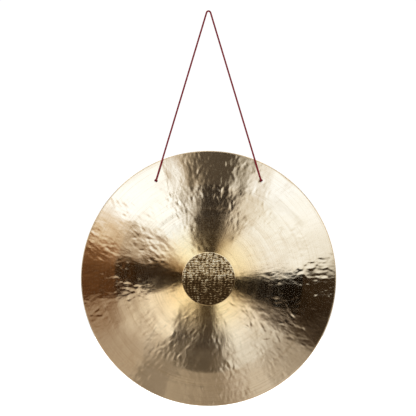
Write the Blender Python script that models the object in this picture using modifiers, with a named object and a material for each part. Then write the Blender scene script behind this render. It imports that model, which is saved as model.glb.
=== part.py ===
"""A tam-tam gong hanging on its red cord, in metres with +Z up.

The gong is one thin bronze plate with a flat hammered spot in the middle of its front, two flat
cones round it and a steeper edge. One cord goes over a hook, comes down in front of the plate,
passes back through two holes near the top and ends in a stopper knot behind each.

The origin is where the hook carries the cord: the underside of its top bend. The front of the
gong faces -Y, and +X is to the right for someone who looks at the front.
"""

import math

import bmesh
import bpy
from mathutils import Matrix, Vector

# The bronze plate
GONG_R = 0.254  # 20 inch gong
PLATE = 0.0014  # thickness of the plate
SPOT_R = 0.052  # the flat hammered spot in the middle
SPOT_PROUD = 0.0003  # how far the spot stands out of the front
SPOT_EDGE = 0.0006  # width of the spot's bevelled edge
MIDDLE_R = 0.1405  # where the inner cone ends
OUTER_R = 0.1877  # where the middle cone ends and the edge begins
INNER_SLOPE = math.radians(1.0)
MIDDLE_SLOPE = math.radians(2.0)
EDGE_SLOPE = math.radians(4.0)
RIM_BEVEL = 0.0003
TURN_STEPS = 96

# The two holes
HOLE_R = 0.00325
HOLE_X = 0.1045  # each side of the middle
HOLE_UP = 0.1946  # above the gong's centre
HOLE_SIDES = 24

# The cord and how it hangs
CORD_R = 0.0016
HOOK_R = 0.0025  # the cord lies over a round hook of 5 mm
GONG_DROP = 0.530  # from the hook down to the gong's centre
GAP = 0.0003  # clearance between pieces that touch
LEG_STEP = 0.012  # spacing of the points along a leg
CORD_SIDES = 2  # bevel resolution: eight sides round the cord

# The stopper knots and the tails behind the plate
KNOT_R = 0.0050
KNOT_DEPTH = 0.0084
TAIL_ROUTE = (
    (0.0000, 0.0000),
    (0.0021, -0.0001),
    (0.0041, -0.0009),
    (0.0057, -0.0024),
    (0.0067, -0.0044),
    (0.0072, -0.0067),
    (0.0074, -0.0092),
    (0.0075, -0.0118),
)  # (back, up) from the middle of the knot's back

SIDES = (("left", -1.0), ("right", 1.0))


def front_height(radius):
    """Height of the plate's front at a radius, towards the front, from the foot of the spot."""
    inner = min(max(radius - SPOT_R, 0.0), MIDDLE_R - SPOT_R)
    middle = min(max(radius - MIDDLE_R, 0.0), OUTER_R - MIDDLE_R)
    edge = max(radius - OUTER_R, 0.0)
    fall = inner * math.tan(INNER_SLOPE)
    fall += middle * math.tan(MIDDLE_SLOPE)
    fall += edge * math.tan(EDGE_SLOPE)
    return -fall


# The cord runs in the plane y = 0, and the plate lies just behind it at the holes.
HOLE_CIRCLE_R = math.hypot(HOLE_X, HOLE_UP)
DISC_Y = CORD_R + GAP + front_height(HOLE_CIRCLE_R)
HOLE_Z = HOLE_UP - GONG_DROP
BEND_R = HOOK_R + CORD_R
BEND_CENTRE = Vector((0.0, 0.0, -HOOK_R))


def tilt_point(side):
    """Where the cord turns back into its hole. It hugs the hole's edge nearest to the hook."""
    hole = Vector((side * HOLE_X, 0.0, HOLE_Z))
    towards_hook = (BEND_CENTRE - hole).normalized()
    return hole + towards_hook * (HOLE_R - CORD_R - GAP)


def leg_angle():
    """Angle of a leg from the vertical: the line from the hole that touches the top bend."""
    down = tilt_point(1.0) - BEND_CENTRE
    straight = math.sqrt(down.length_squared - BEND_R * BEND_R)
    return math.atan2(down.x, -down.z) - math.atan2(BEND_R, straight)


LEG_ANGLE = leg_angle()


def bend_point(angle):
    """A point on the middle of the top bend, at an angle from the +X direction."""
    return BEND_CENTRE + Vector((math.cos(angle), 0.0, math.sin(angle))) * BEND_R


def swing_point(side):
    """Where the leg leaves the hook, on the axis that the cord swings about."""
    point = bend_point(LEG_ANGLE)
    return Vector((side * point.x, 0.0, point.z))


def clear_objects():
    for old in list(bpy.data.objects):
        bpy.data.objects.remove(old, do_unlink=True)


def new_collection(name):
    collection = bpy.data.collections.new(name)
    bpy.context.scene.collection.children.link(collection)
    return collection


def principled(name, colour, metallic, roughness):
    made = bpy.data.materials.new(name)
    made.use_nodes = True
    shader = made.node_tree.nodes["Principled BSDF"]
    shader.inputs["Base Color"].default_value = (*colour, 1.0)
    shader.inputs["Metallic"].default_value = metallic
    shader.inputs["Roughness"].default_value = roughness
    return made


def world_location(empty):
    """Where an empty is: its own location on top of its parents'."""
    total = Vector()
    while empty is not None:
        total += empty.location
        empty = empty.parent
    return total


def put_under(child, parent):
    """Parent an object to an empty without moving it."""
    child.location -= world_location(parent)
    child.parent = parent


def axis_empty(name, height, parent, collection):
    """An empty on a joint's axis, the parent of the pieces that turn about it."""
    empty = bpy.data.objects.new(name, None)
    empty.location = (0.0, 0.0, height)
    empty.empty_display_size = 0.02
    collection.objects.link(empty)
    put_under(empty, parent)
    return empty


def add_piece(piece, parent, collection, finish):
    """Put a piece in its collection, under its parent, in its material."""
    collection.objects.link(piece)
    piece.data.materials.append(finish)
    put_under(piece, parent)


def plate_profile():
    """Half section of the plate: the front from the middle outwards, the rim, then the back."""
    foot = SPOT_R + SPOT_EDGE
    rim_front = front_height(GONG_R)
    rim_back = rim_front - PLATE
    return [
        (0.0, SPOT_PROUD),
        (SPOT_R, SPOT_PROUD),
        (foot, front_height(foot)),
        (MIDDLE_R, front_height(MIDDLE_R)),
        (OUTER_R, front_height(OUTER_R)),
        (GONG_R - RIM_BEVEL, rim_front),
        (GONG_R, rim_front - RIM_BEVEL),
        (GONG_R, rim_back + RIM_BEVEL),
        (GONG_R - RIM_BEVEL, rim_back),
        (OUTER_R, front_height(OUTER_R) - PLATE),
        (MIDDLE_R, front_height(MIDDLE_R) - PLATE),
        (SPOT_R, -PLATE),
        (0.0, -PLATE),
    ]


def turned(name, profile):
    """A solid turned about its own Z axis from a half section."""
    mesh = bpy.data.meshes.new(name)
    points = [(radius, 0.0, height) for radius, height in profile]
    edges = [(i, i + 1) for i in range(len(points) - 1)]
    mesh.from_pydata(points, edges, [])
    piece = bpy.data.objects.new(name, mesh)
    screw = piece.modifiers.new("turn", "SCREW")
    screw.axis = "Z"
    screw.angle = math.tau
    screw.steps = TURN_STEPS
    screw.render_steps = TURN_STEPS
    screw.use_merge_vertices = True
    screw.merge_threshold = 0.00001
    screw.use_smooth_shade = False
    return piece


def hole_cutter(name, side, parent, cutters):
    """A drill along Y through the plate at one hole."""
    mesh = bpy.data.meshes.new(name)
    drill = bmesh.new()
    bmesh.ops.create_cone(
        drill,
        cap_ends=True,
        segments=HOLE_SIDES,
        radius1=HOLE_R,
        radius2=HOLE_R,
        depth=PLATE * 8.0,
        matrix=Matrix.Rotation(math.pi / 2.0, 4, "X"),
    )
    drill.to_mesh(mesh)
    drill.free()
    cutter = bpy.data.objects.new(name, mesh)
    cutter.location = (side * HOLE_X, CORD_R + GAP, HOLE_Z)
    cutter.hide_render = True
    cutter.display_type = "WIRE"
    cutters.objects.link(cutter)
    put_under(cutter, parent)
    return cutter


def add_gong_disc(parent, parts, cutters, bronze):
    """The bronze plate, its front towards -Y, with its two holes."""
    disc = turned("gong_disc", plate_profile())
    disc.location = (0.0, DISC_Y, -GONG_DROP)
    disc.rotation_euler = (math.pi / 2.0, 0.0, 0.0)
    add_piece(disc, parent, parts, bronze)
    for word, side in SIDES:
        cut = disc.modifiers.new("hole_" + word, "BOOLEAN")
        cut.operation = "DIFFERENCE"
        cut.solver = "EXACT"
        cut.object = hole_cutter("hole_cutter_" + word, side, parent, cutters)


def add_tube(name, route, parent, parts, finish):
    """A round cord along a route of (point, fraction of the full radius) pairs.

    Its origin is its parent's, so that it turns about the joint's axis.
    """
    origin = world_location(parent)
    curve = bpy.data.curves.new(name, "CURVE")
    curve.dimensions = "3D"
    curve.bevel_depth = CORD_R
    curve.bevel_resolution = CORD_SIDES
    curve.use_fill_caps = True
    spline = curve.splines.new("POLY")
    spline.points.add(len(route) - 1)
    for vertex, (point, fraction) in zip(spline.points, route):
        vertex.co = (*(point - origin), 1.0)
        vertex.radius = fraction
    tube = bpy.data.objects.new(name, curve)
    tube.location = origin
    add_piece(tube, parent, parts, finish)


def round_end(centre, outward):
    """The rings of a ball end, from its tip to its widest, for the start of a route."""
    rings = []
    for degrees in (8.0, 25.0, 45.0, 65.0):
        angle = math.radians(degrees)
        point = centre + outward * (CORD_R * math.cos(angle))
        rings.append((point, math.sin(angle)))
    rings.append((centre, 1.0))
    return rings


def straight_run(start, end):
    """Evenly spaced points after a start, up to and including an end."""
    count = max(1, round((end - start).length / LEG_STEP))
    return [(start.lerp(end, i / count), 1.0) for i in range(1, count + 1)]


def add_top_bend(parts, finish):
    """The stretch of the cord that lies over the hook, between the two swing points."""
    clear_angle = math.asin((CORD_R + GAP) / BEND_R)
    first = math.pi - LEG_ANGLE - clear_angle
    last = LEG_ANGLE + clear_angle
    steps = 8
    route = []
    for i in range(steps + 1):
        angle = first + (last - first) * i / steps
        route.append((bend_point(angle), 1.0))
    add_tube("cord_top_bend", route, None, parts, finish)


def add_leg(word, side, parent, parts, finish):
    """One straight leg: a ball end at the hook and a flat end just above the hole."""
    top = swing_point(side)
    bottom = tilt_point(side)
    down = (bottom - top).normalized()
    route = round_end(top, -down)
    route += straight_run(top, bottom - down * (CORD_R + GAP))
    add_tube("cord_leg_" + word, route, parent, parts, finish)


def knot_front_y():
    """The front of a knot, clear of the plate's sloping back."""
    slope_room = KNOT_R * math.tan(EDGE_SLOPE) * 0.2
    return CORD_R + GAP + PLATE + GAP + slope_room


def add_hole_pass(word, side, parent, parts, finish):
    """The cord through one hole: a ball end where it turns, and a flat end at the knot."""
    turn = tilt_point(side)
    back = Vector((0.0, 1.0, 0.0))
    end = Vector((turn.x, knot_front_y() - GAP, turn.z))
    route = round_end(turn, -back)
    route.append((end, 1.0))
    add_tube("cord_pass_" + word, route, parent, parts, finish)


def add_knot(word, side, parent, parts, finish):
    """The outer shape of one stopper knot, drawn up against the plate's back."""
    mesh = bpy.data.meshes.new("stopper_knot_" + word)
    ball = bmesh.new()
    size = Matrix.Diagonal((KNOT_R, KNOT_R, KNOT_DEPTH / 2.0, 1.0))
    lying = Matrix.Rotation(-math.pi / 2.0, 4, "X")
    bmesh.ops.create_uvsphere(ball, u_segments=20, v_segments=12, radius=1.0, matrix=lying @ size)
    ball.to_mesh(mesh)
    ball.free()
    knot = bpy.data.objects.new("stopper_knot_" + word, mesh)
    turn = tilt_point(side)
    knot.location = (turn.x, knot_front_y() + KNOT_DEPTH / 2.0, turn.z)
    add_piece(knot, parent, parts, finish)


def add_tail(word, side, parent, parts, finish):
    """The short free end that droops out of the back of a knot."""
    turn = tilt_point(side)
    start = Vector((turn.x, knot_front_y() + KNOT_DEPTH + GAP, turn.z))
    route = []
    for back, up in TAIL_ROUTE:
        route.append((start + Vector((0.0, back, up)), 1.0))
    add_tube("cord_tail_" + word, route, parent, parts, finish)


def build():
    clear_objects()
    parts = new_collection("tam_tam_gong")
    cutters = new_collection("cutters")
    bronze = principled("gong_bronze", (0.62, 0.47, 0.27), 1.0, 0.28)
    red = principled("cord_red", (0.30, 0.02, 0.03), 0.0, 0.75)
    swing_axis = axis_empty("swing_axis", swing_point(1.0).z, None, parts)
    tilt_axis = axis_empty("tilt_axis", tilt_point(1.0).z, swing_axis, parts)
    add_gong_disc(tilt_axis, parts, cutters, bronze)
    add_top_bend(parts, red)
    for word, side in SIDES:
        add_leg(word, side, swing_axis, parts, red)
        add_hole_pass(word, side, tilt_axis, parts, red)
        add_knot(word, side, tilt_axis, parts, red)
        add_tail(word, side, tilt_axis, parts, red)


build()
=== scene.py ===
"""Looks of a tam tam gong on its red cord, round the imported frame.

The bronze plate is a dense mesh with hammer dents, turned rings and a peened middle. The cord is
three pieces of braided tube that meet halfway down the legs, with a tied knot behind each hole.
Lengths are in metres.
"""

import math

import bmesh
import bpy
import numpy as np
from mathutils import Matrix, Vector
from mathutils.geometry import delaunay_2d_cdt


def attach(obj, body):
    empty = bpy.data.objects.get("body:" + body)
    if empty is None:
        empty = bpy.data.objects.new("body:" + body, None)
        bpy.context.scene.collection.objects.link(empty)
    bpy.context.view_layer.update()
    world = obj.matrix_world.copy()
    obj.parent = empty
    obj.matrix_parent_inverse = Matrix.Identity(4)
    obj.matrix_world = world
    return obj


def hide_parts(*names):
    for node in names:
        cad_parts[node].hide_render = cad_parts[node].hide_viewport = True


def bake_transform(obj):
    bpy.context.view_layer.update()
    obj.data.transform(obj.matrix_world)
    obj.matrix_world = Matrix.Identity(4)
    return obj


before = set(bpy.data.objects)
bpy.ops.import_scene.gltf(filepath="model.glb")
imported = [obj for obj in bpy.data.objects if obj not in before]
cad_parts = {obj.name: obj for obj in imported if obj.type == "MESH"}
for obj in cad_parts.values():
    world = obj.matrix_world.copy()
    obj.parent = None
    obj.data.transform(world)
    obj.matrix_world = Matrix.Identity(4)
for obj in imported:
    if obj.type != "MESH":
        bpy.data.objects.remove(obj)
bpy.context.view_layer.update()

# The plate, as in the CAD model
GONG_R = 0.254
PLATE = 0.0014
SPOT_R = 0.052
SPOT_PROUD = 0.0003
SPOT_EDGE = 0.0006
MIDDLE_R = 0.1405
OUTER_R = 0.1877
INNER_TAN = math.tan(math.radians(1.0))
MIDDLE_TAN = math.tan(math.radians(2.0))
EDGE_TAN = math.tan(math.radians(4.0))
RIM_BEVEL = 0.0003
HOLE_BEVEL = 0.0002
HOLE_R = 0.00325
HOLE_X = 0.1045
HOLE_UP = 0.1946
GONG_Z = -0.530

# The cord, as in the CAD model
CORD_R = 0.0016
CORD_D = 2.0 * CORD_R
HOOK_R = 0.0025
GAP = 0.0003
BEND_R = HOOK_R + CORD_R
BEND_CENTRE = np.array([0.0, 0.0, -HOOK_R])
PLATE_FRONT_Y = CORD_R + GAP  # at the holes
PLATE_BACK_Y = PLATE_FRONT_Y + PLATE

SIDES = (("left", -1.0), ("right", 1.0))


def front_fall(radius):
    """How far the plate's front lies behind the foot of the spot at each radius."""
    inner = np.clip(radius - SPOT_R, 0.0, MIDDLE_R - SPOT_R)
    middle = np.clip(radius - MIDDLE_R, 0.0, OUTER_R - MIDDLE_R)
    edge = np.clip(radius - OUTER_R, 0.0, None)
    return inner * INNER_TAN + middle * MIDDLE_TAN + edge * EDGE_TAN


DISC_Y = PLATE_FRONT_Y - float(front_fall(math.hypot(HOLE_X, HOLE_UP)))


# ---------------------------------------------------------------- the cord

RING_STEP = 0.0004
CORD_SIDES = 24
BRAID_COUNT = 8  # strands that cross a ring each way
BRAID_PITCH = 0.0026  # along the cord, from crossing to crossing of one family
BRAID_DEPTH = 0.00022
BRAID_SUNK = 0.20  # the share of the braid's depth that lies inside the cord's radius
SEAL_LENGTH = 0.0025  # of the melted tip of each tail
SEAL_ROUNDING = 0.0012
SEAL_SWELL = 1.04
SEAL_TIP = 0.12
TURN_R = 0.0021  # of the cord's middle where it turns into a hole
TAIL_ROUTE = (
    (0.0000, 0.0000),
    (0.0021, -0.0001),
    (0.0041, -0.0009),
    (0.0057, -0.0024),
    (0.0067, -0.0044),
    (0.0072, -0.0067),
    (0.0074, -0.0092),
    (0.0075, -0.0118),
)
KNOT_END_GAP = 0.0022  # from the knot's back to where its tail starts
TAIL_GAP = 0.0005  # from there to the tail's own first point
TURN_GAP = 0.0002  # from the turn into the hole to the knot's first point
KNOT_POINTS = 110
KNOT_STEPS = 1100
KNOT_LOOSE_SIZE = 0.005
KNOT_LOOSE_REACH = 0.045  # from the knot's middle to each pulled end, at first
KNOT_TIGHT_REACH = 0.016
KNOT_PULL = 0.00006  # a step


def unit(vector):
    return vector / np.linalg.norm(vector)


def tilt_point(side):
    hole = np.array([side * HOLE_X, 0.0, GONG_Z + HOLE_UP])
    return hole + unit(BEND_CENTRE - hole) * (HOLE_R - CORD_R - GAP)


def leg_angle():
    down = tilt_point(1.0) - BEND_CENTRE
    straight = math.sqrt(down @ down - BEND_R * BEND_R)
    return math.atan2(down[0], -down[2]) - math.atan2(BEND_R, straight)


LEG_ANGLE = leg_angle()


def swing_point(side):
    return BEND_CENTRE + BEND_R * np.array([side * math.cos(LEG_ANGLE), 0.0, math.sin(LEG_ANGLE)])


def seam_point(side):
    return 0.5 * (swing_point(side) + tilt_point(side))


def resample(points, count):
    """The same line with evenly spaced points."""
    steps = np.linalg.norm(np.diff(points, axis=0), axis=1)
    along = np.concatenate([[0.0], np.cumsum(steps)])
    wanted = np.linspace(0.0, along[-1], count)
    return np.stack([np.interp(wanted, along, points[:, k]) for k in range(3)], axis=1)


def line_length(points):
    return float(np.linalg.norm(np.diff(points, axis=0), axis=1).sum())


def push_apart(points, spacing):
    """Moves that separate stretches of the cord that lie in each other."""
    gap = points[:, None, :] - points[None, :, :]
    distance = np.sqrt(np.einsum("ijk,ijk->ij", gap, gap))
    order = np.arange(len(points))
    apart = np.abs(order[:, None] - order[None, :]) * spacing
    near = (apart > 1.5 * CORD_D) & (distance < CORD_D)
    short = np.where(near, (CORD_D - distance) / np.maximum(distance, 1e-6), 0.0)
    return np.einsum("ij,ijk->ik", short, gap)


def tight_knot():
    """The middle line of an overhand knot about the Z axis, drawn tight from a loose one."""
    t = np.linspace(-2.2, 2.2, 300)
    loose = np.stack([t**3 - 3 * t, t**4 - 4 * t**2 + 1.6, t**5 / 5 - 2 * t], axis=1)
    ends = np.array([[0.0, 0.0, -9.0], [0.0, 0.0, 9.0]])
    points = np.concatenate([ends[:1], loose, ends[1:]]) * KNOT_LOOSE_SIZE
    points = resample(points, KNOT_POINTS)
    order = np.arange(KNOT_POINTS)
    endness = np.clip((np.abs(order - order.mean()) / KNOT_POINTS - 0.30) / 0.1, 0.0, 1.0)
    wide = 2
    for step in range(KNOT_STEPS):
        spacing = line_length(points) / (KNOT_POINTS - 1)
        moved = points.copy()
        moved[1:-1] += 0.45 * (points[:-2] + points[2:] - 2 * points[1:-1])
        bend = moved[: -4 * wide] - 4 * moved[wide : -3 * wide] + 6 * moved[2 * wide : -2 * wide]
        bend += -4 * moved[3 * wide : -wide] + moved[4 * wide :]
        moved[2 * wide : -2 * wide] -= 0.03 * bend
        moved += 0.25 * push_apart(moved, spacing)
        outside = np.clip((np.abs(moved[:, 2]) - 0.006) / 0.003, 0.0, 1.0)
        moved[:, :2] *= 1.0 - 0.3 * (outside * endness)[:, None]
        reach = max(KNOT_TIGHT_REACH, KNOT_LOOSE_REACH - step * KNOT_PULL)
        moved[0] = (0.0, 0.0, -reach)
        moved[-1] = (0.0, 0.0, reach)
        points = resample(moved, KNOT_POINTS)
    return points


def round_corners(points, passes):
    """Fair a line by averaging each point with its neighbours."""
    points = points.copy()
    for _ in range(passes):
        points[1:-1] = 0.25 * points[:-2] + 0.5 * points[1:-1] + 0.25 * points[2:]
    return points


def turn_into_hole(side):
    """The quarter turn from the leg's direction to straight back, about the hole's front edge."""
    corner = tilt_point(side)
    up_leg = unit(swing_point(side) - corner)
    back = np.array([0.0, 1.0, 0.0])
    centre = corner + (up_leg + back) * TURN_R
    points = []
    for angle in np.linspace(0.0, math.pi / 2.0, 12):
        points.append(centre - TURN_R * (back * math.cos(angle) + up_leg * math.sin(angle)))
    return np.array(points)


def lower_route(side, knot):
    """From the seam halfway down a leg, through the hole, round the knot and down the tail."""
    corner = tilt_point(side)
    turn = turn_into_hole(side)
    leg = np.linspace(seam_point(side), turn[0], 40)[:-1]
    tied = np.stack([knot[:, 0] * side, knot[:, 2], knot[:, 1]], axis=1)
    off_axis = np.hypot(tied[:, 0], tied[:, 2]) > 0.25 * CORD_D
    front = tied[off_axis, 1].min() - CORD_R
    tied[:, 1] += PLATE_BACK_Y + GAP - front
    tied += np.array([corner[0], 0.0, corner[2]])
    tied = tied[tied[:, 1] > turn[-1, 1] + TURN_GAP]
    knot_end = tied[off_axis[-len(tied) :], 1].max() + KNOT_END_GAP
    past_knot = np.nonzero(tied[:, 1] > knot_end)[0]
    tied = tied[: [i for i in past_knot if i > len(tied) // 2][0]]
    tail = [tied[-1] + np.array([0.0, back + TAIL_GAP, up]) for back, up in TAIL_ROUTE]
    route = np.concatenate([leg, turn, tied, np.array(tail)])
    count = int(line_length(route) / RING_STEP) + 1
    return round_corners(resample(route, count), 6)


def top_route():
    """From the left seam up over the hook and down to the right seam."""
    angles = np.linspace(math.pi - LEG_ANGLE, LEG_ANGLE, 40)
    bend = BEND_CENTRE + BEND_R * np.stack(
        [np.cos(angles), np.zeros(len(angles)), np.sin(angles)], axis=1
    )
    left = np.linspace(seam_point(-1.0), bend[0], 60)[:-1]
    right = np.linspace(bend[-1], seam_point(1.0), 60)[1:]
    route = np.concatenate([left, bend, right])
    count = int(line_length(route) / RING_STEP) + 1
    return resample(route, count)


def sides_along(points):
    """Two directions across a line at each point, with no twist; the first starts nearest +Y."""
    tangents = np.gradient(points, axis=0)
    tangents /= np.linalg.norm(tangents, axis=1)[:, None]
    side = np.array([0.0, 1.0, 0.0])
    firsts = []
    for tangent in tangents:
        side = unit(side - tangent * (side @ tangent))
        firsts.append(side)
    firsts = np.array(firsts)
    return firsts, np.cross(tangents, firsts)


def braid_height(angle, along):
    """Crown of the braid's strands, from 0 in the valleys to 1."""
    first = 0.5 * BRAID_COUNT * angle + math.pi * along / BRAID_PITCH
    second = 0.5 * BRAID_COUNT * angle - math.pi * along / BRAID_PITCH
    return np.sqrt(np.abs(np.sin(first) * np.sin(second)))


def tube_faces(count):
    """Quads between the rings of a tube, in order along it, and its two ends."""
    faces = []
    for ring in range(count - 1):
        base = ring * CORD_SIDES
        for k in range(CORD_SIDES):
            after = (k + 1) % CORD_SIDES
            faces.append((base + k, base + after, base + CORD_SIDES + after, base + CORD_SIDES + k))
    last = (count - 1) * CORD_SIDES
    faces.append(tuple(range(CORD_SIDES - 1, -1, -1)))
    faces.append(tuple(range(last, last + CORD_SIDES)))
    return faces


def unroll_tube(mesh, along):
    """The UV map: once round the cord across, braid pitches along it."""
    uv = mesh.uv_layers.new(name="cord_uv")
    loop_uv = np.zeros((len(mesh.loops), 2))
    row = 0
    for low, high in zip(along[:-1], along[1:]):
        for k in range(CORD_SIDES):
            left, right = k / CORD_SIDES, (k + 1) / CORD_SIDES
            loop_uv[row : row + 4] = ((left, low), (right, low), (right, high), (left, high))
            row += 4
    loop_uv[:, 1] /= BRAID_PITCH
    uv.data.foreach_set("uv", loop_uv.ravel())


def crease_ends(mesh, last):
    """Sharp edges round the tube's first and last rings; last is the first point of its last ring."""
    keys = np.zeros(len(mesh.edges) * 2, dtype=np.int64)
    mesh.edges.foreach_get("vertices", keys)
    keys = keys.reshape(-1, 2)
    marks = (keys < CORD_SIDES).all(axis=1) | (keys >= last).all(axis=1)
    sharp = mesh.attributes.new("sharp_edge", "BOOLEAN", "EDGE")
    sharp.data.foreach_set("value", marks)


def add_point_value(mesh, name, values):
    attribute = mesh.attributes.new(name, "FLOAT", "POINT")
    attribute.data.foreach_set("value", values.astype(np.float32).ravel())


def sealed_radius(radius, left_over, sealed):
    """The tube's radius with its last ring melted to a smooth round tip."""
    rest = (1.0 - left_over / SEAL_ROUNDING).clip(0.0, 1.0)
    rounding = np.sqrt(np.clip(1.0 - rest**2, 0.0, 1.0))
    radius = radius * (1.0 - sealed[:, None]) + CORD_R * SEAL_SWELL * sealed[:, None]
    return radius * np.maximum(rounding, SEAL_TIP)[:, None]


def add_cord(name, points, sealed_end):
    """A braided tube of quads along a line, its ends closed."""
    count = len(points)
    along = np.arange(count) * line_length(points) / (count - 1)
    angles = np.arange(CORD_SIDES) * math.tau / CORD_SIDES
    firsts, seconds = sides_along(points)
    relief = braid_height(angles[None, :], along[:, None])
    radius = CORD_R + BRAID_DEPTH * (relief - BRAID_SUNK)
    sealed = np.zeros(count)
    if sealed_end:
        left_over = along[-1] - along
        sealed = np.clip(1.0 - left_over / SEAL_LENGTH, 0.0, 1.0)
        radius = sealed_radius(radius, left_over, sealed)
    around = firsts[:, None, :] * np.cos(angles)[None, :, None]
    around = around + seconds[:, None, :] * np.sin(angles)[None, :, None]
    verts = (points[:, None, :] + around * radius[:, :, None]).reshape(-1, 3)
    mesh = bpy.data.meshes.new(name)
    mesh.from_pydata(verts.tolist(), [], tube_faces(count))
    unroll_tube(mesh, along)
    add_point_value(mesh, "crown", relief)
    add_point_value(mesh, "burnt", np.repeat(sealed, CORD_SIDES))
    mesh.shade_smooth()
    crease_ends(mesh, (count - 1) * CORD_SIDES)
    piece = bpy.data.objects.new(name, mesh)
    bpy.context.scene.collection.objects.link(piece)
    return piece


# ---------------------------------------------------------------- node helpers


class Nodes:
    """Short calls for making the nodes of one material or world."""

    def __init__(self, tree):
        self.tree = tree
        tree.nodes.clear()

    def put(self, kind, **settings):
        made = self.tree.nodes.new(kind)
        for key, value in settings.items():
            setattr(made, key, value)
        return made

    def feed(self, socket, value):
        if isinstance(value, bpy.types.NodeSocket):
            self.tree.links.new(value, socket)
        else:
            socket.default_value = value

    def math(self, operation, first, second=0.0):
        made = self.put("ShaderNodeMath", operation=operation)
        self.feed(made.inputs[0], first)
        self.feed(made.inputs[1], second)
        return made.outputs[0]

    def scaled(self, value, factor):
        return self.math("MULTIPLY", value, factor)

    def plus(self, value, other, factor):
        """value + other * factor"""
        return self.math("ADD", value, self.scaled(other, factor))

    def sway(self, value, noise, factor):
        """value + noise about its middle * factor"""
        return self.plus(value, self.math("SUBTRACT", noise, 0.5), factor)

    def length(self, first, second):
        squares = [self.math("MULTIPLY", value, value) for value in (first, second)]
        return self.math("SQRT", self.math("ADD", *squares))

    def smooth(self, value, low, high):
        """0 below low, 1 above high, smooth between."""
        made = self.put("ShaderNodeMapRange", interpolation_type="SMOOTHSTEP")
        self.feed(made.inputs[0], value)
        made.inputs[1].default_value = low
        made.inputs[2].default_value = high
        return made.outputs[0]

    def ramp(self, value, stops):
        made = self.put("ShaderNodeValToRGB")
        elements = made.color_ramp.elements
        while len(elements) > 1:
            elements.remove(elements[0])
        elements[0].position = stops[0][0]
        elements[0].color = (*stops[0][1], 1.0)
        for position, colour in stops[1:]:
            elements.new(position).color = (*colour, 1.0)
        self.feed(made.inputs[0], value)
        return made.outputs[0]

    def mix(self, factor, first, second):
        made = self.put("ShaderNodeMix", data_type="RGBA")
        self.feed(made.inputs[0], factor)
        self.feed(made.inputs[6], first if not isinstance(first, tuple) else (*first, 1.0))
        self.feed(made.inputs[7], second if not isinstance(second, tuple) else (*second, 1.0))
        return made.outputs[2]

    def noise(self, vector, scale, detail=2.0, roughness=0.5, distortion=0.0):
        made = self.put("ShaderNodeTexNoise")
        self.feed(made.inputs["Vector"], vector)
        made.inputs["Scale"].default_value = scale
        made.inputs["Detail"].default_value = detail
        made.inputs["Roughness"].default_value = roughness
        made.inputs["Distortion"].default_value = distortion
        return made.outputs["Fac"]

    def join(self, x, y, z):
        made = self.put("ShaderNodeCombineXYZ")
        for socket, value in zip(made.inputs, (x, y, z)):
            self.feed(socket, value)
        return made.outputs[0]

    def split(self, vector):
        made = self.put("ShaderNodeSeparateXYZ")
        self.feed(made.inputs[0], vector)
        return made.outputs

    def bump(self, height, distance, normal=None):
        made = self.put("ShaderNodeBump")
        made.inputs["Distance"].default_value = distance
        self.feed(made.inputs["Height"], height)
        if normal is not None:
            self.feed(made.inputs["Normal"], normal)
        return made.outputs[0]


def finish_material(n, shader):
    out = n.put("ShaderNodeOutputMaterial")
    n.feed(out.inputs[0], shader.outputs[0])


def new_material(name):
    made = bpy.data.materials.new(name)
    made.use_nodes = True
    return made, Nodes(made.node_tree)


# ---------------------------------------------------------------- the cord's material


THREADS = 4.0  # seen side by side on one strand
# The valley red is painted shade and the crown red a painted highlight; the strand, mottle and burnt
# reds are the cord's own colour.
RED_VALLEY_SHADE = (0.020, 0.0006, 0.002)
RED_STRAND = (0.115, 0.003, 0.009)
RED_CROWN_HIGHLIGHT = (0.25, 0.008, 0.020)
RED_MOTTLE = (0.15, 0.004, 0.010)
RED_BURNT = (0.035, 0.006, 0.006)


def cord_material():
    """Dark red braided polyester, with painted shade, near black, in the valleys between strands and a
    painted highlight on each strand's crown.
    """
    material, n = new_material("cord_red")
    uv = n.split(n.put("ShaderNodeUVMap", uv_map="cord_uv").outputs[0])
    crown = n.put("ShaderNodeAttribute", attribute_name="crown").outputs["Fac"]
    burnt = n.put("ShaderNodeAttribute", attribute_name="burnt").outputs["Fac"]
    across = n.scaled(uv[0], BRAID_COUNT)
    first = n.math("ADD", across, uv[1])
    second = n.math("SUBTRACT", across, uv[1])
    cells = n.math("ADD", n.math("FLOOR", first), n.math("FLOOR", second))
    family = n.math("PINGPONG", cells, 1.0)
    thread = n.math("MULTIPLY", first, family)
    other = n.math("MULTIPLY", second, n.math("SUBTRACT", 1.0, family))
    threads = n.math("SINE", n.scaled(n.math("ADD", thread, other), math.tau * THREADS))
    place = n.put("ShaderNodeTexCoord").outputs["UV"]
    mottle = n.noise(place, 0.9, 3.0)
    fuzz = n.noise(place, 14.0, 4.0, 0.7)
    # Painted shade and highlight: the braid's height darkens its valleys and lightens its crowns; fuzz
    # and threads add the cord's own grain.
    lit = n.plus(n.plus(n.scaled(crown, 0.75), fuzz, 0.4), threads, 0.07)
    red = n.ramp(lit, [(0.12, RED_VALLEY_SHADE), (0.55, RED_STRAND), (0.98, RED_CROWN_HIGHLIGHT)])
    red = n.mix(n.scaled(n.smooth(mottle, 0.3, 0.7), 0.35), red, RED_MOTTLE)
    red = n.mix(n.scaled(burnt, 0.8), red, RED_BURNT)
    shader = n.put("ShaderNodeBsdfPrincipled")
    n.feed(shader.inputs["Base Color"], red)
    n.feed(shader.inputs["Roughness"], n.plus(n.plus(0.82, burnt, -0.45), crown, -0.14))
    shader.inputs["Specular IOR Level"].default_value = 0.25
    shader.inputs["Sheen Weight"].default_value = 0.04
    shader.inputs["Sheen Roughness"].default_value = 0.45
    shader.inputs["Sheen Tint"].default_value = (1.0, 0.55, 0.5, 1.0)
    n.feed(shader.inputs["Normal"], n.bump(n.plus(fuzz, threads, 0.5), 0.00006))
    finish_material(n, shader)
    return material


# ---------------------------------------------------------------- make the cord

CORD_RED = cord_material()
KNOT = tight_knot()


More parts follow.
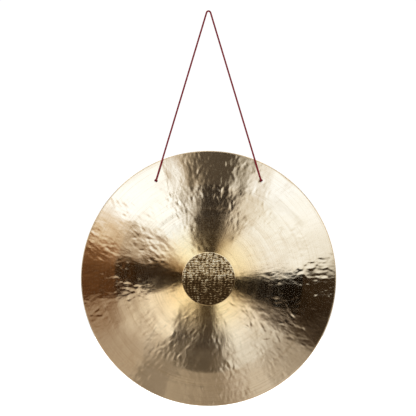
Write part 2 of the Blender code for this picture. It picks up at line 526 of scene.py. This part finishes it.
def make_top_cord():
    points = top_route()
    top = add_cord("cord_top", points, False)
    top.data.materials.append(CORD_RED)
    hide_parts("cord_top_bend")
    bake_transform(top)


def make_lower_cord(word, side):
    points = lower_route(side, KNOT)
    piece = add_cord("cord_" + word, points, True)
    piece.data.materials.append(CORD_RED)
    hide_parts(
        "cord_leg_" + word,
        "cord_pass_" + word,
        "stopper_knot_" + word,
        "cord_tail_" + word,
    )
    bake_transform(piece)


make_top_cord()
for word, side in SIDES:
    make_lower_cord(word, side)


# ---------------------------------------------------------------- camera

VIEW_DISTANCE = 2.6
VIEW_X = -0.0011
VIEW_Z = -0.3897
RIM_Y = 0.004  # how far the plate's rim lies behind the cord
FRAME_WIDTH = 0.828  # what the camera takes in at the rim
SENSOR = 36.0


def make_camera():
    data = bpy.data.cameras.new("camera")
    data.sensor_width = SENSOR
    data.lens = SENSOR * (VIEW_DISTANCE + RIM_Y) / FRAME_WIDTH
    data.clip_start = 0.05
    data.clip_end = 60.0
    camera = bpy.data.objects.new("camera", data)
    camera.location = (VIEW_X, -VIEW_DISTANCE, VIEW_Z)
    camera.rotation_euler = (math.pi / 2.0, 0.0, 0.0)
    bpy.context.scene.collection.objects.link(camera)
    bpy.context.scene.camera = camera


make_camera()
bpy.context.scene.view_settings.view_transform = "Standard"


# ---------------------------------------------------------------- the plate's mesh

FRONT_STEP = 0.00175
SPOT_STEP = 0.0009
BACK_STEP = 0.0040
RIM_COUNT = 720
HOLE_COUNT = 40
RIM_ROOM = 0.0012  # kept free of loose points inside the rim's loop
BACK_RIM_ROOM = 0.003
HOLE_ROOM = 0.0010  # and round each hole
BACK_HOLE_ROOM = 0.0014
FADE = 0.003  # over which the hammer work fades out at an edge
SPOT_FADE = 0.0015
MARK_DEPTH = 0.0110  # typical, over a dent's short side
WAVE_DEPTH = 0.0045  # typical, over a wave's size
PEEN_PITCH = 0.0041  # from row to row of the spot's marks
RANDOM = np.random.default_rng(20)


def ring_points(inner, outer, step, jitter):
    """Points on rings about the plate's centre, roughly a step apart."""
    points = []
    count = max(1, int(round((outer - inner) / step)))
    for i in range(count + 1):
        radius = inner + (outer - inner) * i / count
        around = max(1, int(round(math.tau * radius / step)))
        angles = (np.arange(around) + RANDOM.random()) * math.tau / around
        radii = radius + (RANDOM.random(around) - 0.5) * step * jitter
        points.append(np.stack([radii * np.sin(angles), radii * np.cos(angles)], axis=1))
    return np.concatenate(points)


def circle(radius, count, centre=(0.0, 0.0)):
    angles = np.arange(count) * math.tau / count
    return np.stack([centre[0] + radius * np.sin(angles), centre[1] + radius * np.cos(angles)], axis=1)


def clear_of_holes(points, room):
    keep = np.ones(len(points), dtype=bool)
    for _, side in SIDES:
        keep &= np.hypot(points[:, 0] - side * HOLE_X, points[:, 1] - HOLE_UP) > HOLE_R + room
    return points[keep]


def triangulated(loops, inside):
    """Triangles between an outline, two hole loops and loose points. The loops' points come first."""
    points = np.concatenate(loops + [inside])
    edges = []
    starts = []
    start = 0
    for loop in loops:
        count = len(loop)
        edges += [(start + i, start + (i + 1) % count) for i in range(count)]
        starts.append(start)
        start += count
    result = delaunay_2d_cdt([Vector(p) for p in points], edges, [], 1, 1e-7)
    made = np.array([tuple(p) for p in result[0]])
    faces = np.array([f for f in result[2] if len(f) == 3])
    keep = np.ones(len(faces), dtype=bool)
    for first, loop in list(zip(starts, loops))[1:]:
        in_hole = (faces >= first) & (faces < first + len(loop))
        keep &= ~in_hole.all(axis=1)
    return made, faces[keep]


def scattered(count, inner, outer):
    """Random places evenly spread between two radii: their radii and their points."""
    radii = np.sqrt(RANDOM.uniform(inner**2, outer**2, count))
    angles = RANDOM.uniform(0.0, math.tau, count)
    return radii, np.stack([radii * np.sin(angles), radii * np.cos(angles)], axis=1)


def add_bumps(points, centres, long_sides, short_sides, depths, tilts):
    """Sum of elongated soft dents, each lying along its radius but for its tilt."""
    height = np.zeros(len(points))
    order = np.argsort(points[:, 0])
    sorted_x = points[order, 0]
    dents = zip(centres, long_sides, short_sides, depths, tilts)
    for centre, long_side, short_side, depth, tilt in dents:
        reach = 3.0 * max(long_side, short_side)
        low = np.searchsorted(sorted_x, centre[0] - reach)
        high = np.searchsorted(sorted_x, centre[0] + reach)
        near = order[low:high]
        near = near[np.abs(points[near, 1] - centre[1]) < reach]
        heading = math.atan2(centre[0], centre[1]) + tilt
        offset = points[near] - centre
        outward = offset @ np.array([math.sin(heading), math.cos(heading)])
        across = offset @ np.array([math.cos(heading), -math.sin(heading)])
        away = (outward / long_side) ** 2 + (across / short_side) ** 2
        height[near] += depth * np.exp(-0.5 * away)
    return height


def hammer_marks(points):
    """Overlapping hammer blows, longer along the radius, in patches all over but near the middle."""
    count = 9000
    radii, centres = scattered(count, inner=0.056, outer=0.252)
    long_side = RANDOM.uniform(0.0022, 0.0058, count)
    short_side = RANDOM.uniform(0.0011, 0.0021, count)
    patch = np.sin(centres[:, 0] * 31.0 + 1.0) * np.sin(centres[:, 1] * 27.0 + 2.0)
    patch += 0.6 * np.sin(centres[:, 0] * 64.0 + centres[:, 1] * 40.0)
    strength = np.clip(0.75 + 0.45 * patch, 0.15, 1.5)
    growth = np.clip(radii / 0.17, 0.1, 1.15) ** 1.5
    depths = RANDOM.normal(0.0, 1.0, count) * short_side * MARK_DEPTH * growth * strength
    tilts = RANDOM.normal(0.0, 0.45, count)
    return add_bumps(points, centres, long_side, short_side, depths, tilts)


def slow_waves(points):
    """The plate's gentle unevenness, a few millimetres to a few centimetres long."""
    count = 420
    radii, centres = scattered(count, inner=0.07, outer=0.25)
    size = RANDOM.uniform(0.006, 0.016, count)
    depths = RANDOM.normal(0.0, 1.0, count) * size * WAVE_DEPTH * np.clip(radii / 0.17, 0.2, 1.2)
    return add_bumps(points, centres, size * 1.5, size, depths, np.zeros(count))


def turned_rings(points):
    """Faint uneven rings left by the lathe."""
    radius = np.hypot(points[:, 0], points[:, 1])
    angle = np.arctan2(points[:, 0], points[:, 1])
    height = np.zeros(len(points))
    for _ in range(70):
        middle = RANDOM.uniform(0.056, 0.250)
        width = RANDOM.uniform(0.0015, 0.0045)
        slope = RANDOM.normal(0.0, 0.006)
        start = RANDOM.uniform(0.0, math.tau)
        wander = 0.0012 * np.sin(angle * 2.0 + start) + 0.0008 * np.sin(angle * 5.0 + 2.0 * start)
        strength = 0.5 + 0.5 * np.sin(angle + start)
        height += strength * slope * width * np.exp(-0.5 * ((radius - middle + wander) / width) ** 2)
    return height


def peened_rows(points):
    """The middle spot's cross-hatched hammer marks: level rows with uneven upright columns."""
    x, z = points[:, 0], points[:, 1]
    wave = 0.0006 * np.sin(x * 180.0) + 0.0004 * np.sin(x * 420.0 + 1.0)
    rows = np.sin((z + wave) / PEEN_PITCH * math.tau)
    columns = np.sin(x * 1150.0 + 1.7 * np.sin(x * 260.0) + 0.8 * np.sin(z * 300.0))
    patches = 0.65 + 0.35 * np.sin(x * 210.0 + 2.0) * np.sin(z * 190.0 + 0.5)
    height = 0.000030 * rows * patches + 0.000028 * columns * (1.2 - patches)
    count = 500
    centres = RANDOM.uniform(-SPOT_R, SPOT_R, (count, 2))
    widths = RANDOM.uniform(0.0012, 0.0024, count)
    depths = RANDOM.normal(0.0, 1.0, count) * 0.000035
    return height + add_bumps(points, centres, widths, widths * 0.8, depths, np.zeros(count))


def front_face(points):
    """Height of the front over its foot plane, towards the viewer."""
    radius = np.hypot(points[:, 0], points[:, 1])
    fade_in = np.clip((radius - SPOT_R - SPOT_EDGE) / FADE, 0.0, 1.0)
    fade_out = np.clip((GONG_R - RIM_BEVEL - radius) / FADE, 0.0, 1.0)
    around = np.ones(len(points))
    for _, side in SIDES:
        away = np.hypot(points[:, 0] - side * HOLE_X, points[:, 1] - HOLE_UP)
        around *= np.clip((away - HOLE_R) / FADE, 0.0, 1.0)
    work = hammer_marks(points) + slow_waves(points) + turned_rings(points)
    work = work * fade_in * fade_out * around
    spot = np.clip((SPOT_R + SPOT_EDGE - radius) / SPOT_EDGE, 0.0, 1.0)
    inside = np.clip((SPOT_R - radius) / SPOT_FADE, 0.0, 1.0)
    return -soft_fall(points) + work + SPOT_PROUD * spot + peened_rows(points) * inside


def back_face(points):
    """Height of the back under the same foot plane."""
    return -soft_fall(points) - PLATE


def soft_hinge(distance, width):
    """0 before a border and the distance after it, with the bend spread over the width."""
    return 0.5 * (distance + np.sqrt(distance * distance + width * width))


def soft_fall(points):
    """The cones' fall with their borders rounded: crisp towards the four quarters, soft between."""
    radius = np.hypot(points[:, 0], points[:, 1])
    angle = np.arctan2(points[:, 0], points[:, 1])
    crisp = np.cos(2.0 * angle) ** 4
    width = 0.0015 + 0.0105 * (1.0 - crisp)
    fall = np.clip(radius - SPOT_R, 0.0, None) * INNER_TAN
    fall += soft_hinge(radius - MIDDLE_R, width) * (MIDDLE_TAN - INNER_TAN)
    fall += soft_hinge(radius - OUTER_R, width) * (EDGE_TAN - MIDDLE_TAN)
    return fall


def world_points(points, height):
    return np.stack([points[:, 0], DISC_Y - height, points[:, 1] + GONG_Z], axis=1)


def bridge(first, second):
    """Quads between two loops of equal length."""
    count = len(first)
    faces = []
    for i in range(count):
        j = (i + 1) % count
        faces.append((second[i], second[j], first[j], first[i]))
    return faces


def front_points():
    spot = ring_points(SPOT_STEP, SPOT_R - 0.0003, SPOT_STEP, 0.3)
    edge = ring_points(SPOT_R, SPOT_R + SPOT_EDGE, SPOT_EDGE, 0.0)
    wide = ring_points(SPOT_R + 0.0016, GONG_R - RIM_BEVEL - RIM_ROOM, FRONT_STEP, 0.5)
    return clear_of_holes(np.concatenate([spot, edge, wide]), HOLE_ROOM)


def back_points():
    points = ring_points(BACK_STEP, GONG_R - RIM_BEVEL - BACK_RIM_ROOM, BACK_STEP, 0.3)
    return clear_of_holes(points, BACK_HOLE_ROOM)


def wall_points(outline, height, is_rim):
    """The front and back rings of the wall of the rim or a hole, past the faces' bevels."""
    if is_rim:
        bevel = RIM_BEVEL
        ring = outline * (GONG_R / (GONG_R - RIM_BEVEL))
    else:
        bevel = HOLE_BEVEL
        centre = outline.mean(axis=0)
        ring = centre + (outline - centre) * (HOLE_R / (HOLE_R + HOLE_BEVEL))
    high = world_points(ring, height - bevel)
    low = world_points(ring, back_face(outline) + bevel)
    return [high, low]


def turn_faces_out(mesh):
    work = bmesh.new()
    work.from_mesh(mesh)
    bmesh.ops.recalc_face_normals(work, faces=work.faces)
    work.to_mesh(mesh)
    work.free()


def make_disc_mesh():
    """The plate's closed mesh, and each face's material: 0 front, 1 spot, 2 walls and back."""
    rim = circle(GONG_R - RIM_BEVEL, RIM_COUNT)
    holes = [circle(HOLE_R + HOLE_BEVEL, HOLE_COUNT, (side * HOLE_X, HOLE_UP)) for _, side in SIDES]
    loops = [rim] + holes
    front, front_faces = triangulated(loops, front_points())
    back, back_faces = triangulated(loops, back_points())
    front_height = front_face(front)
    verts = [world_points(front, front_height), world_points(back, back_face(back))]
    start = len(front)
    faces = front_faces.tolist() + (back_faces[:, ::-1] + start).tolist()
    total = start + len(back)
    offset = 0
    for number, loop in enumerate(loops):
        size = len(loop)
        here = slice(offset, offset + size)
        verts += wall_points(front[here], front_height[here], number == 0)
        firsts = (offset, total, total + size, start + offset)
        levels = [range(first, first + size) for first in firsts]
        for upper, lower in zip(levels[:-1], levels[1:]):
            faces += bridge(upper, lower)
        offset += size
        total += 2 * size
    mesh = bpy.data.meshes.new("gong")
    mesh.from_pydata(np.concatenate(verts).tolist(), [], faces)
    turn_faces_out(mesh)
    slots = np.zeros(len(mesh.polygons), dtype=np.int32)
    middles = front[front_faces].mean(axis=1)
    spot = np.hypot(middles[:, 0], middles[:, 1]) < SPOT_R + SPOT_EDGE
    slots[: len(front_faces)][spot] = 1
    slots[len(front_faces) :] = 2
    return mesh, slots


# ---------------------------------------------------------------- bronze


STRAW = (0.84, 0.69, 0.47)
PALE_STRAW = (0.90, 0.77, 0.58)
GOLD = (0.96, 0.73, 0.38)
RING_BROWN = (0.60, 0.43, 0.23)
SMOKE_BROWN = (0.60, 0.46, 0.28)
RIM_ORANGE = (0.88, 0.64, 0.34)
# The spot's colours: painted shade and glints for the hatch, painted shade for its lower half, and a
# painted highlight and shade for its edge; the brown and tan are the browned metal's own.
SPOT_DEEP_SHADE = (0.060, 0.032, 0.011)
SPOT_BROWN = (0.22, 0.13, 0.052)
SPOT_TAN = (0.80, 0.58, 0.29)
SPOT_CREST_GLINT = (1.0, 0.88, 0.62)
SPOT_LOW_SHADE = (0.050, 0.027, 0.010)
SPOT_RIM_TOP_HIGHLIGHT = (0.95, 0.80, 0.54)
SPOT_RIM_LOW_SHADE = (0.17, 0.11, 0.05)
BACK_BROWN = (0.66, 0.47, 0.25)
BACK_BRONZE = (0.80, 0.62, 0.37)
BACK_PALE = (0.86, 0.70, 0.46)
BACK_RING = (0.42, 0.26, 0.12)


def plate_place(n):
    """Position on the plate: offsets from its centre, and the radius."""
    xyz = n.split(n.put("ShaderNodeTexCoord").outputs["Object"])
    up = n.math("SUBTRACT", xyz[2], GONG_Z)
    return xyz[0], up, n.length(xyz[0], up)


def ray_vector(n, place, across, along):
    """Coordinates for streaks that run along the radius."""
    x, up, radius = place
    safe = n.math("MAXIMUM", radius, 0.001)
    level = n.scaled(n.math("DIVIDE", x, safe), across)
    upright = n.scaled(n.math("DIVIDE", up, safe), across)
    return n.join(level, upright, n.scaled(radius, along))


def bronze_shader(n, colour, rough, anisotropy, normal, is_turned):
    """Polished metal; the highlights of turned metal spread along the radius."""
    shader = n.put("ShaderNodeBsdfPrincipled")
    n.feed(shader.inputs["Base Color"], colour)
    n.feed(shader.inputs["Roughness"], rough)
    n.feed(shader.inputs["Normal"], normal)
    shader.inputs["Metallic"].default_value = 1.0
    shader.inputs["Anisotropic"].default_value = anisotropy
    if is_turned:
        around = n.put("ShaderNodeTangent", direction_type="RADIAL", axis="Y")
        n.feed(shader.inputs["Tangent"], around.outputs[0])
        shader.inputs["Anisotropic Rotation"].default_value = 0.25
    finish_material(n, shader)


def front_bronze():
    """Polished hammered bronze: turned rings, ray-like hammer streaks, a faint patina."""
    material, n = new_material("gong_bronze_front")
    place = plate_place(n)
    x, up, radius = place
    plane = n.join(x, 0.0, up)
    cloud = n.noise(plane, 14.0, 4.0, 0.6)
    rays = n.noise(ray_vector(n, place, 46.0, 120.0), 1.0, 3.0, 0.6)
    rings = n.noise(ray_vector(n, place, 1.2, 420.0), 1.0, 3.0, 0.65)
    smoke = n.noise(ray_vector(n, place, 2.2, 34.0), 1.0, 4.0, 0.62, 0.6)
    edge = n.smooth(radius, 0.2512, 0.2536)
    colour = n.mix(cloud, STRAW, PALE_STRAW)
    colour = n.mix(n.smooth(radius, 0.13, 0.055), colour, GOLD)
    colour = n.mix(n.scaled(n.smooth(rings, 0.50, 0.78), 0.40), colour, RING_BROWN)
    colour = n.mix(n.scaled(n.smooth(smoke, 0.50, 0.80), 0.45), colour, SMOKE_BROWN)
    colour = n.mix(n.scaled(edge, 0.7), colour, RIM_ORANGE)
    rough = n.plus(n.plus(n.plus(0.045, rings, 0.035), cloud, 0.015), edge, 0.25)
    patch = n.smooth(n.noise(plane, 22.0, 2.0), 0.35, 0.65)
    growth = n.math("POWER", n.math("DIVIDE", radius, 0.2), 1.5)
    relief = n.math("MULTIPLY", n.math("MULTIPLY", rays, growth), n.plus(0.25, patch, 1.1))
    normal = n.bump(relief, 0.000027)
    normal = n.bump(rings, 0.000022, normal)
    bronze_shader(n, colour, rough, 0.95, normal, True)
    return material


def uneven_wave(n, value, pitch, wander):
    """A wave that repeats each pitch, shifted by wander waves."""
    waves = n.math("ADD", n.math("DIVIDE", value, pitch), wander)
    return n.math("SINE", n.scaled(waves, math.tau))


def spot_bronze():
    """The peened middle: cross-hatched browned metal with painted glints on its crests and painted
    shade in its hollows, painted shade over its lower half, and a painted highlight and painted shade
    on the top and bottom of its edge.
    """
    material, n = new_material("gong_bronze_spot")
    x, up, radius = plate_place(n)
    plane = n.join(x, 0.0, up)
    blotch = n.noise(plane, 75.0, 3.0, 0.6)
    rows = uneven_wave(n, up, 0.0046, n.scaled(n.noise(plane, 45.0, 2.0), 1.6))
    columns = uneven_wave(n, x, 0.0074, n.scaled(n.noise(plane, 30.0, 3.0), 3.4))
    grain = n.noise(n.join(n.scaled(x, 260.0), 0.0, n.scaled(up, 620.0)), 1.0, 3.0, 0.6)
    dashes = n.noise(n.join(n.scaled(x, 150.0), 0.0, n.scaled(up, 430.0)), 1.0, 2.0, 0.5)
    # Painted shade: low darkens the spot's lower half, by pulling the hatch towards its dark tones and
    # by mixing in a dark brown.
    low = n.smooth(up, 0.016, -0.012)
    cross = n.plus(n.scaled(rows, 0.12), columns, 0.11)
    cross = n.sway(n.sway(n.sway(cross, grain, 1.2), dashes, 1.8), blotch, 1.3)
    cross = n.plus(cross, low, -0.30)
    # The hatch's tones run from painted shade, near black, in the hollows (partly the browned metal's
    # own dark), through the metal's own brown and tan, to painted glints, cream, on the crests.
    tones = [(0.32, SPOT_DEEP_SHADE), (0.44, SPOT_BROWN), (0.54, SPOT_TAN), (0.65, SPOT_CREST_GLINT)]
    colour = n.ramp(n.math("ADD", n.scaled(cross, 0.5), 0.5), tones)
    colour = n.mix(low, colour, n.mix(0.45, colour, SPOT_LOW_SHADE))
    # Painted highlight along the top of the spot's edge and painted shade along its bottom.
    edge = n.smooth(radius, 0.0517, 0.0523)
    colour = n.mix(n.scaled(edge, 0.9), colour, n.mix(low, SPOT_RIM_TOP_HIGHLIGHT, SPOT_RIM_LOW_SHADE))
    rough = n.plus(0.30, n.smooth(cross, -0.3, 0.4), -0.14)
    bronze_shader(n, colour, rough, 0.0, n.bump(cross, 0.00010), False)
    return material


def back_bronze():
    """The back and rim: the same bronze with coarser rings and a browner, cloudy patina."""
    material, n = new_material("gong_bronze_back")
    place = plate_place(n)
    x, up, radius = place
    plane = n.join(x, 0.0, up)
    cloud = n.noise(plane, 11.0, 5.0, 0.65)
    rings = n.noise(ray_vector(n, place, 1.0, 330.0), 1.0, 4.0, 0.7)
    rays = n.noise(ray_vector(n, place, 34.0, 90.0), 1.0, 3.0, 0.6)
    dents = n.noise(plane, 95.0, 2.0, 0.5, 0.3)
    colour = n.ramp(cloud, [(0.32, BACK_BROWN), (0.52, BACK_BRONZE), (0.70, BACK_PALE)])
    colour = n.mix(n.scaled(n.smooth(rings, 0.5, 0.75), 0.45), colour, BACK_RING)
    rough = n.plus(n.plus(0.05, rings, 0.05), cloud, 0.02)
    away_from_middle = n.smooth(radius, 0.030, 0.080)
    relief = n.math("MULTIPLY", n.plus(dents, rays, 0.5), away_from_middle)
    normal = n.bump(relief, 0.00005)
    normal = n.bump(rings, 0.000024, normal)
    bronze_shader(n, colour, rough, 0.92, normal, True)
    return material


def make_disc():
    mesh, slots = make_disc_mesh()
    disc = bpy.data.objects.new("gong", mesh)
    bpy.context.scene.collection.objects.link(disc)
    for material in (front_bronze(), spot_bronze(), back_bronze()):
        mesh.materials.append(material)
    mesh.polygons.foreach_set("material_index", slots)
    mesh.shade_smooth()
    mesh.set_sharp_from_angle(angle=math.radians(35.0))
    mesh.update()
    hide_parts("gong_disc")
    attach(disc, "gong")
    print("gong faces", len(mesh.polygons))


make_disc()


# ---------------------------------------------------------------- studio light

PATTERN_UP = -0.054  # the reflected studio is centred on the gong, below the camera's own level


def stops(table):
    return [(degrees / 360.0, colour) for degrees, colour in table]


# Panels and gaps of the studio round the camera, clockwise from the top, as the plate reflects them:
# those closest to the camera, those further out, and the outermost.
CLOSE_PANELS = (
    (0, (0.030, 0.021, 0.013)),
    (13, (0.034, 0.024, 0.016)),
    (18, (0.36, 0.30, 0.24)),
    (25, (0.68, 0.62, 0.54)),
    (38, (0.96, 0.98, 1.02)),
    (55, (1.02, 1.08, 1.16)),
    (82, (0.92, 0.90, 0.88)),
    (86, (0.50, 0.44, 0.36)),
    (89, (0.002, 0.001, 0.0)),
    (111, (0.004, 0.002, 0.001)),
    (117, (0.14, 0.11, 0.08)),
    (126, (0.60, 0.54, 0.47)),
    (134, (1.04, 1.02, 1.00)),
    (158, (1.12, 1.18, 1.24)),
    (164, (0.62, 0.57, 0.50)),
    (169, (0.050, 0.036, 0.024)),
    (193, (0.032, 0.022, 0.013)),
    (202, (0.14, 0.11, 0.08)),
    (210, (0.76, 0.70, 0.61)),
    (222, (1.28, 1.26, 1.18)),
    (252, (1.10, 1.02, 0.90)),
    (257, (0.44, 0.36, 0.28)),
    (261, (0.006, 0.002, 0.0)),
    (283, (0.016, 0.006, 0.001)),
    (290, (0.28, 0.19, 0.12)),
    (298, (0.55, 0.44, 0.34)),
    (307, (1.10, 1.14, 1.20)),
    (328, (1.10, 1.30, 1.60)),
    (340, (0.78, 0.76, 0.74)),
    (347, (0.40, 0.36, 0.30)),
    (351, (0.080, 0.062, 0.046)),
    (360, (0.030, 0.021, 0.013)),
)
NEAR_PANELS = (
    (0, (0.024, 0.019, 0.016)),
    (12, (0.024, 0.019, 0.016)),
    (17, (0.26, 0.22, 0.18)),
    (24, (0.78, 0.76, 0.72)),
    (36, (0.94, 0.98, 1.02)),
    (52, (1.14, 1.28, 1.50)),
    (84, (1.00, 1.06, 1.14)),
    (88, (0.001, 0.0, 0.0)),
    (110, (0.002, 0.001, 0.0)),
    (115, (0.085, 0.064, 0.048)),
    (124, (0.25, 0.22, 0.20)),
    (131, (0.64, 0.62, 0.60)),
    (156, (0.88, 0.92, 0.98)),
    (163, (0.62, 0.60, 0.58)),
    (171, (0.16, 0.13, 0.10)),
    (186, (0.078, 0.062, 0.046)),
    (201, (0.15, 0.125, 0.10)),
    (210, (0.33, 0.29, 0.25)),
    (219, (0.56, 0.50, 0.44)),
    (230, (0.70, 0.63, 0.55)),
    (255, (0.56, 0.48, 0.40)),
    (259, (0.20, 0.14, 0.10)),
    (262, (0.016, 0.006, 0.001)),
    (284, (0.034, 0.018, 0.006)),
    (290, (0.26, 0.19, 0.13)),
    (299, (0.66, 0.58, 0.50)),
    (311, (1.10, 1.20, 1.36)),
    (332, (1.40, 1.60, 2.00)),
    (342, (0.90, 0.94, 1.00)),
    (348, (0.42, 0.38, 0.33)),
    (352, (0.070, 0.058, 0.048)),
    (360, (0.024, 0.019, 0.016)),
)
FAR_PANELS = (
    (0, (0.098, 0.080, 0.064)),
    (12, (0.080, 0.066, 0.052)),
    (17, (0.42, 0.40, 0.36)),
    (25, (0.95, 1.00, 1.10)),
    (40, (1.20, 1.38, 1.72)),
    (58, (1.16, 1.30, 1.55)),
    (80, (0.92, 0.97, 1.03)),
    (84, (0.60, 0.60, 0.58)),
    (88, (0.040, 0.024, 0.012)),
    (112, (0.022, 0.012, 0.005)),
    (122, (0.070, 0.050, 0.034)),
    (130, (0.36, 0.32, 0.28)),
    (143, (0.50, 0.46, 0.42)),
    (155, (0.70, 0.66, 0.62)),
    (165, (0.50, 0.44, 0.39)),
    (175, (0.33, 0.275, 0.22)),
    (200, (0.46, 0.40, 0.33)),
    (204, (0.33, 0.28, 0.23)),
    (212, (0.30, 0.255, 0.21)),
    (221, (0.50, 0.43, 0.36)),
    (252, (0.34, 0.24, 0.17)),
    (258, (0.26, 0.16, 0.10)),
    (262, (0.085, 0.034, 0.011)),
    (284, (0.20, 0.095, 0.040)),
    (289, (0.42, 0.24, 0.13)),
    (294, (0.82, 0.70, 0.55)),
    (311, (1.30, 1.50, 1.90)),
    (338, (1.20, 1.36, 1.66)),
    (346, (0.66, 0.60, 0.53)),
    (351, (0.30, 0.26, 0.21)),
    (356, (0.13, 0.11, 0.088)),
    (360, (0.098, 0.080, 0.064)),
)


CAMERA_SHADE = (0.10, 0.075, 0.05)
ROOM_GAP = (0.070, 0.050, 0.032)
ROOM_LIGHT = (  # from the floor to the ceiling
    (0.0, (0.45, 0.40, 0.34)),
    (0.34, (0.85, 0.80, 0.72)),
    (0.52, (1.15, 1.12, 1.06)),
    (0.74, (1.6, 1.58, 1.54)),
    (1.0, (2.0, 1.98, 1.94)),
)
WHITE_GLOW = 1.05
FLOOR_Z = -1.04
FLOOR_REACH = 4.0


def studio_world():
    """White behind the object, and round it a studio of soft panels and gaps that lights it."""
    world = bpy.data.worlds.new("studio")
    bpy.context.scene.world = world
    world.use_nodes = True
    n = Nodes(world.node_tree)
    xyz = n.split(n.put("ShaderNodeTexCoord").outputs["Generated"])
    depth = n.math("MAXIMUM", n.math("ABSOLUTE", xyz[1]), 0.001)
    level = n.math("DIVIDE", xyz[0], depth)
    up = n.math("SUBTRACT", n.math("DIVIDE", xyz[2], depth), PATTERN_UP)
    away = n.length(level, up)
    turn = n.math("FRACT", n.math("DIVIDE", n.math("ARCTAN2", level, up), math.tau))
    close = n.ramp(turn, stops(CLOSE_PANELS))
    near = n.ramp(turn, stops(NEAR_PANELS))
    far = n.ramp(turn, stops(FAR_PANELS))
    panels = n.mix(n.smooth(away, 0.078, 0.122), close, near)
    panels = n.mix(n.smooth(away, 0.140, 0.212), panels, far)
    panels = n.mix(n.smooth(away, 0.030, 0.016), panels, CAMERA_SHADE)
    room = n.ramp(n.math("ADD", n.scaled(xyz[2], 0.5), 0.5), ROOM_LIGHT)
    turn_wide = n.math("ARCTAN2", xyz[0], xyz[1])
    climb = n.math("ARCSINE", xyz[2])
    bays = n.math("SINE", n.plus(n.scaled(turn_wide, 21.0), climb, 7.0))
    tiers = n.math("SINE", n.scaled(climb, 17.0))
    gaps = n.smooth(n.plus(bays, tiers, 0.7), 0.7, -0.9)
    room = n.mix(n.scaled(gaps, 0.92), room, ROOM_GAP)
    light = n.mix(n.smooth(away, 0.28, 0.55), panels, room)
    camera_ray = n.put("ShaderNodeLightPath").outputs["Is Camera Ray"]
    glow = n.put("ShaderNodeBackground")
    n.feed(glow.inputs[0], light)
    white = n.put("ShaderNodeBackground")
    white.inputs[0].default_value = (1.0, 1.0, 1.0, 1.0)
    white.inputs[1].default_value = WHITE_GLOW
    either = n.put("ShaderNodeMixShader")
    n.feed(either.inputs[0], camera_ray)
    n.feed(either.inputs[1], glow.outputs[0])
    n.feed(either.inputs[2], white.outputs[0])
    out = n.put("ShaderNodeOutputWorld")
    n.feed(out.inputs[0], either.outputs[0])


def add_soft_light():
    """A wide dim lamp in front, up on the right, which shows the cord and isn't reflected."""
    data = bpy.data.lights.new("soft_front", "AREA")
    data.size = 1.6
    data.energy = 18.0
    data.color = (1.0, 0.98, 0.95)
    lamp = bpy.data.objects.new("soft_front", data)
    place = Vector((0.9, -2.2, 0.9))
    target = Vector((0.0, 0.0, -0.3))
    lamp.location = place
    lamp.rotation_euler = (target - place).to_track_quat("-Z", "Y").to_euler()
    lamp.visible_glossy = False
    lamp.visible_camera = False
    bpy.context.scene.collection.objects.link(lamp)


def add_floor():
    """A plain pale floor below the hanging gong, left out of its reflections."""
    mesh = bpy.data.meshes.new("floor")
    corners = ((-1.0, -1.0), (1.0, -1.0), (1.0, 1.0), (-1.0, 1.0))
    verts = [(x * FLOOR_REACH, y * FLOOR_REACH, FLOOR_Z) for x, y in corners]
    mesh.from_pydata(verts, [], [(0, 1, 2, 3)])
    floor = bpy.data.objects.new("floor", mesh)
    bpy.context.scene.collection.objects.link(floor)
    material, n = new_material("floor_pale")
    shader = n.put("ShaderNodeBsdfPrincipled")
    place = n.put("ShaderNodeTexCoord").outputs["Object"]
    pale = n.mix(n.noise(place, 3.0), (0.86, 0.86, 0.85), (0.90, 0.90, 0.89))
    n.feed(shader.inputs["Base Color"], pale)
    shader.inputs["Roughness"].default_value = 0.9
    shader.inputs["Emission Color"].default_value = (1.0, 1.0, 1.0, 1.0)
    shader.inputs["Emission Strength"].default_value = 0.75
    finish_material(n, shader)
    mesh.materials.append(material)
    floor.visible_glossy = False


studio_world()
add_soft_light()
add_floor()
